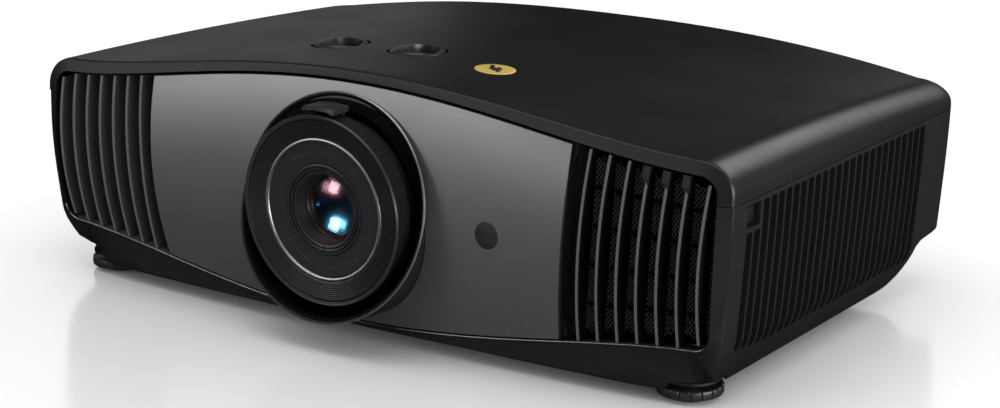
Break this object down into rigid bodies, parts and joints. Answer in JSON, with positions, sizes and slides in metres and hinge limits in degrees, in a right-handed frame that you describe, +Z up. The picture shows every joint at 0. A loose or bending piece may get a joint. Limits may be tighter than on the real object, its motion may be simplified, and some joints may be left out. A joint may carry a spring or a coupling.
{
  "type": "home projector",
  "caption": "Home-cinema projector with arched black case, grey front panel, shifting zoom lens with focus and zoom rings, louvred vents and screw-adjusted front feet.",
  "frame": {"origin": "middle of the footprint, on the plane of the foot pads", "axes": "+Z up, -Y out through the lens, +X to the right seen from the front"},
  "size_m": [0.4944, 0.3356, 0.161],
  "materials": {
    "black_plastic": "fine satin texture",
    "dark_plastic": "matte",
    "panel_grey": "satin metallic paint",
    "steel": "plain sheet",
    "lens_metal": "black anodised",
    "chrome": "polished",
    "glass": "coated",
    "rubber": "matte",
    "board": "glass-fibre board",
    "gold": "satin",
    "module": "cast module housing",
    "window": "tinted"
  },
  "bodies": {
    "case": {"top_cover_front": "black_plastic", "top_cover_rear": "black_plastic", "side_panel_right": "black_plastic", "side_panel_left": "black_plastic", "base_tray": "black_plastic", "rear_panel": "black_plastic", "front_panel": "panel_grey", "grille_left": "dark_plastic", "grille_right": "dark_plastic", "filter_frame_left": "dark_plastic", "filter_frame_right": "dark_plastic", "lens_surround": "dark_plastic", "lens_mount_plate": "steel", "emblem_disc": "gold", "ir_window": "window", "lock_slot": "steel", "light_engine": "module", "lamp_module": "module", "power_supply": "module", "main_board": "board", "fan_frame_intake": "dark_plastic", "fan_frame_exhaust": "dark_plastic", "io_plate": "dark_plastic", "hdmi_port_1": "steel", "hdmi_port_2": "steel", "usb_port": "steel", "trigger_jack": "dark_plastic", "audio_jack": "dark_plastic", "ac_inlet": "dark_plastic", "keypad_plate": "dark_plastic", "rear_foot_left": "rubber", "rear_foot_right": "rubber"},
    "carriage_vertical": {"shift_plate_vertical": "steel"},
    "carriage_horizontal": {"shift_plate_horizontal": "steel", "lens_barrel": "lens_metal", "lens_face": "dark_plastic", "chrome_ring": "chrome", "lens_retainer": "dark_plastic", "lens_front_element": "glass", "lens_inner_element": "glass"},
    "focus": {"focus_ring": "dark_plastic"},
    "zoom": {"zoom_ring": "dark_plastic"},
    "dial_horizontal": {"shift_dial_horizontal": "dark_plastic"},
    "dial_vertical": {"shift_dial_vertical": "dark_plastic"},
    "intake_rotor": {"fan_rotor_intake": "dark_plastic"},
    "exhaust_rotor": {"fan_rotor_exhaust": "dark_plastic"},
    "foot_guide_l": {"foot_guide_left": "steel"},
    "foot_guide_r": {"foot_guide_right": "steel"},
    "foot_l": {"foot_disc_left": "dark_plastic", "foot_pad_left": "rubber"},
    "foot_r": {"foot_disc_right": "dark_plastic", "foot_pad_right": "rubber"},
    "key_power": {"button_power": "dark_plastic"},
    "key_menu": {"button_menu": "dark_plastic"},
    "key_up": {"button_up": "dark_plastic"},
    "key_down": {"button_down": "dark_plastic"},
    "key_ok": {"button_ok": "dark_plastic"},
    "key_left": {"button_left": "dark_plastic"},
    "key_right": {"button_right": "dark_plastic"}
  },
  "joints": [
    {"name": "lens_shift_vertical", "type": "slide", "parent": "case", "child": "carriage_vertical", "axis": [0, 0, 1], "range_m": [-0.0025, 0.0025]},
    {"name": "lens_shift_horizontal", "type": "slide", "parent": "carriage_vertical", "child": "carriage_horizontal", "axis": [1, 0, 0], "range_m": [-0.002, 0.002]},
    {"name": "focus_turn", "type": "hinge", "parent": "carriage_horizontal", "child": "focus", "pos_m": [0, -0.15475, 0.0833], "axis": [0, 1, 0], "range_deg": [-60, 60]},
    {"name": "zoom_turn", "type": "hinge", "parent": "carriage_horizontal", "child": "zoom", "pos_m": [0, -0.13975, 0.0833], "axis": [0, 1, 0], "range_deg": [-32, 32]},
    {"name": "dial_vertical_turn", "type": "hinge", "parent": "case", "child": "dial_vertical", "pos_m": [-0.003, -0.06225, 0.155], "axis": [0, 0, 1], "range_deg": [-136, 136]},
    {"name": "dial_horizontal_turn", "type": "hinge", "parent": "case", "child": "dial_horizontal", "pos_m": [-0.0612, -0.06225, 0.155], "axis": [0, 0, 1], "range_deg": [-136, 136]},
    {"name": "fan_intake_spin", "type": "hinge", "parent": "case", "child": "intake_rotor", "pos_m": [0.196, -0.08175, 0.077], "axis": [0, 1, 0], "continuous": true},
    {"name": "fan_exhaust_spin", "type": "hinge", "parent": "case", "child": "exhaust_rotor", "pos_m": [-0.196, -0.08175, 0.077], "axis": [0, 1, 0], "continuous": true},
    {"name": "foot_left_lower", "type": "slide", "parent": "case", "child": "foot_guide_l", "axis": [0, 0, -1], "range_m": [0, 0.012]},
    {"name": "foot_left_turn", "type": "hinge", "parent": "foot_guide_l", "child": "foot_l", "pos_m": [-0.2118, -0.10485, 0.006], "axis": [0, 0, -1], "range_deg": [0, 2165]},
    {"name": "foot_right_lower", "type": "slide", "parent": "case", "child": "foot_guide_r", "axis": [0, 0, -1], "range_m": [0, 0.012]},
    {"name": "foot_right_turn", "type": "hinge", "parent": "foot_guide_r", "child": "foot_r", "pos_m": [0.2118, -0.10485, 0.006], "axis": [0, 0, -1], "range_deg": [0, 2165]},
    {"name": "press_power", "type": "slide", "parent": "case", "child": "key_power", "axis": [1, 0, 0], "range_m": [0, 0.0008], "stiffness_N_per_m": 400},
    {"name": "press_menu", "type": "slide", "parent": "case", "child": "key_menu", "axis": [1, 0, 0], "range_m": [0, 0.0008], "stiffness_N_per_m": 400},
    {"name": "press_up", "type": "slide", "parent": "case", "child": "key_up", "axis": [1, 0, 0], "range_m": [0, 0.0008], "stiffness_N_per_m": 400},
    {"name": "press_down", "type": "slide", "parent": "case", "child": "key_down", "axis": [1, 0, 0], "range_m": [0, 0.0008], "stiffness_N_per_m": 400},
    {"name": "press_ok", "type": "slide", "parent": "case", "child": "key_ok", "axis": [1, 0, 0], "range_m": [0, 0.0008], "stiffness_N_per_m": 400},
    {"name": "press_left", "type": "slide", "parent": "case", "child": "key_left", "axis": [1, 0, 0], "range_m": [0, 0.0008], "stiffness_N_per_m": 400},
    {"name": "press_right", "type": "slide", "parent": "case", "child": "key_right", "axis": [1, 0, 0], "range_m": [0, 0.0008], "stiffness_N_per_m": 400}
  ],
  "couplings": [
    {"joint": "dial_vertical_turn", "follows": "lens_shift_vertical", "rad_per_m": 942.48},
    {"joint": "dial_horizontal_turn", "follows": "lens_shift_horizontal", "rad_per_m": 1178.1},
    {"joint": "foot_left_turn", "follows": "foot_left_lower", "rad_per_m": 3141.6},
    {"joint": "foot_right_turn", "follows": "foot_right_lower", "rad_per_m": 3141.6}
  ]
}
